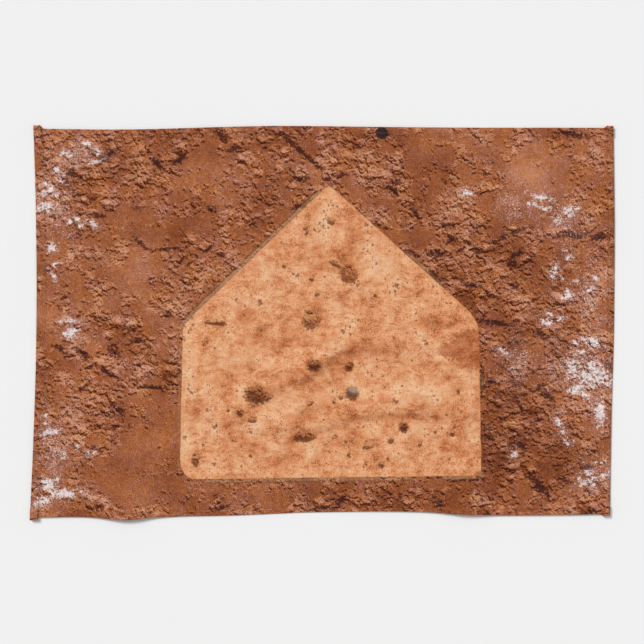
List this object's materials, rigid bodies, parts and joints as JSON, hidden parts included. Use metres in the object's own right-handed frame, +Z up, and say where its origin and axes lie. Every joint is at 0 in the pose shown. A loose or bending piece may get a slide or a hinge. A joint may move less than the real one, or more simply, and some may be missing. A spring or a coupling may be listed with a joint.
{
  "type": "kitchen towel",
  "caption": "Rectangular printed kitchen towel with double-turned sewn hems and folded corners, lying flat and face up.",
  "frame": {"origin": "on the surface that the towel lies on, below the middle of the towel", "axes": "+X along the long sides, +Y towards the top of the printed picture, +Z up out of the printed face"},
  "size_m": [0.6096, 0.4096, 0.0043],
  "materials": {
    "printed_cloth": "matt printed plain-weave cloth",
    "sewing_thread": "twisted brown polyester sewing thread"
  },
  "bodies": {
    "towel": {"panel": "printed_cloth", "top_hem": "printed_cloth", "bottom_hem": "printed_cloth", "left_hem": "printed_cloth", "right_hem": "printed_cloth", "top_left_corner": "printed_cloth", "top_right_corner": "printed_cloth", "bottom_left_corner": "printed_cloth", "bottom_right_corner": "printed_cloth", "top_needle_thread": "sewing_thread", "bottom_needle_thread": "sewing_thread", "left_needle_thread": "sewing_thread", "right_needle_thread": "sewing_thread", "top_bobbin_thread": "sewing_thread", "bottom_bobbin_thread": "sewing_thread", "left_bobbin_thread": "sewing_thread", "right_bobbin_thread": "sewing_thread"}
  },
  "joints": []
}
